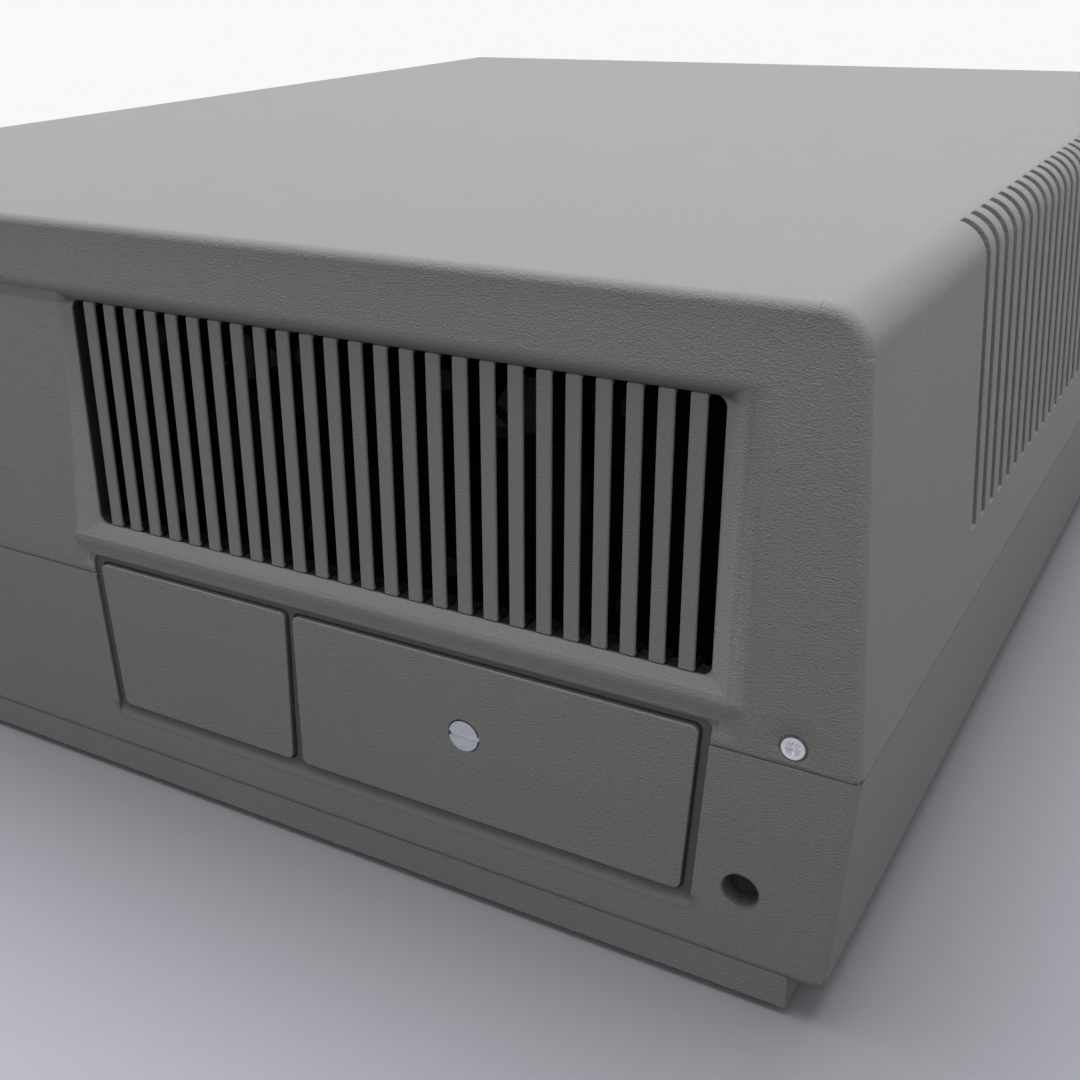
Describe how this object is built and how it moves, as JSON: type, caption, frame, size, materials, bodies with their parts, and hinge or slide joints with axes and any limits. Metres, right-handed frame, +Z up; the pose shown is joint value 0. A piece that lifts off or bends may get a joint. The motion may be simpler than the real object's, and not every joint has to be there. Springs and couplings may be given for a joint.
{
  "type": "desktop computer system unit",
  "caption": "Gray plastic desktop computer unit with slatted rear fan grille, two rear covers, wrapped side vents and a plain front with disk drive.",
  "frame": {"origin": "centre of the footprint, on the surface that the rubber feet stand on", "axes": "+Z up, +Y from the pictured rear face towards the front, +X to the right as the rear face is seen"},
  "size_m": [0.428, 0.534, 0.1761],
  "materials": {
    "case_plastic": "fine grain, matte",
    "sheet_steel": "zinc plated",
    "bright_steel": "nickel plated",
    "rubber": "matte",
    "board_green": "satin lacquer",
    "board_tan": "satin",
    "brass": "plain",
    "transformer": "varnished",
    "capacitor_sleeve": "gloss",
    "cast_alloy": "as cast",
    "red_lens": "clear tinted",
    "rocker_red": "satin",
    "button_gray": "satin",
    "connector_brown": "satin",
    "black_plastic": "satin"
  },
  "bodies": {
    "case": {"upper_case": "case_plastic", "lower_case": "case_plastic", "base_plinth": "case_plastic", "rubber_feet": "rubber", "front_fascia": "case_plastic", "rear_grille": "case_plastic", "fastener_receptacle": "bright_steel", "port_panel": "sheet_steel", "port_connectors": "black_plastic", "case_screws": "bright_steel", "base_screws": "bright_steel", "fan_bracket": "sheet_steel", "bracket_screws": "bright_steel", "fan_frames": "black_plastic", "fan_screws": "bright_steel", "chassis_tray": "sheet_steel", "mainboard": "board_green", "board_standoffs": "brass", "board_screws": "bright_steel", "board_chips": "black_plastic", "processor": "black_plastic", "slot_connectors": "connector_brown", "supply_box": "sheet_steel", "supply_lid": "sheet_steel", "supply_board": "board_tan", "supply_transformer": "transformer", "supply_capacitors": "capacitor_sleeve", "supply_heatsink": "cast_alloy", "mains_inlet": "black_plastic", "fuse_holder": "black_plastic", "power_switch": "black_plastic", "lamp_lens": "red_lens", "lamp_holder": "black_plastic", "reset_switch": "black_plastic", "drive_stand": "sheet_steel", "drive_frame": "cast_alloy", "drive_faceplate": "black_plastic", "drive_motor": "black_plastic", "speaker": "black_plastic"},
    "small_cover": {"small_cover": "case_plastic"},
    "large_cover": {"large_cover": "case_plastic"},
    "cover_fastener": {"cover_fastener": "bright_steel"},
    "fan_rotor_left": {"fan_rotor_left": "black_plastic"},
    "fan_rotor_right": {"fan_rotor_right": "black_plastic"},
    "power_rocker": {"power_rocker": "rocker_red"},
    "reset_button": {"reset_button": "button_gray"},
    "fuse_cap": {"fuse_cap": "black_plastic"},
    "drive_lever": {"drive_lever": "button_gray"},
    "drive_spindle": {"drive_spindle": "bright_steel"},
    "head_screw": {"head_screw": "bright_steel"},
    "head_carriage": {"head_carriage": "cast_alloy"}
  },
  "joints": [
    {"name": "small_cover_pull", "type": "slide", "parent": "case", "child": "small_cover", "axis": [0, -1, 0], "range_m": [0, 0.03]},
    {"name": "large_cover_pull", "type": "slide", "parent": "case", "child": "large_cover", "axis": [0, -1, 0], "range_m": [0, 0.03]},
    {"name": "fastener_turn", "type": "hinge", "parent": "large_cover", "child": "cover_fastener", "pos_m": [0.11125, -0.267, 0.0522], "axis": [0, 1, 0], "range_deg": [0, 90]},
    {"name": "left_fan_spin", "type": "hinge", "parent": "case", "child": "fan_rotor_left", "pos_m": [0.03421, -0.242, 0.1198], "axis": [0, 1, 0], "continuous": true},
    {"name": "right_fan_spin", "type": "hinge", "parent": "case", "child": "fan_rotor_right", "pos_m": [0.12689, -0.242, 0.1198], "axis": [0, 1, 0], "continuous": true},
    {"name": "power_rock", "type": "hinge", "parent": "case", "child": "power_rocker", "pos_m": [-0.17, 0.254, 0.0436], "axis": [1, 0, 0], "range_deg": [0, 16]},
    {"name": "reset_press", "type": "slide", "parent": "case", "child": "reset_button", "axis": [0, -1, 0], "range_m": [0, 0.0025], "stiffness_N_per_m": 400, "springref_m": -0.001},
    {"name": "fuse_turn", "type": "hinge", "parent": "case", "child": "fuse_cap", "pos_m": [-0.1165, -0.262, 0.0961], "axis": [0, 1, 0], "range_deg": [0, 90]},
    {"name": "lever_turn", "type": "hinge", "parent": "case", "child": "drive_lever", "pos_m": [0.101, 0.262, 0.12732], "axis": [0, 1, 0], "range_deg": [0, 90]},
    {"name": "spindle_spin", "type": "hinge", "parent": "case", "child": "drive_spindle", "pos_m": [0.101, 0.1435, 0.114], "axis": [0, 0, 1], "continuous": true},
    {"name": "lead_turn", "type": "hinge", "parent": "case", "child": "head_screw", "pos_m": [0.123, 0.0737, 0.124], "axis": [0, 1, 0], "range_deg": [0, 541]},
    {"name": "head_travel", "type": "slide", "parent": "case", "child": "head_carriage", "axis": [0, 1, 0], "range_m": [0, 0.015]}
  ],
  "couplings": [
    {"joint": "lead_turn", "follows": "head_travel", "rad_per_m": 628.32}
  ]
}
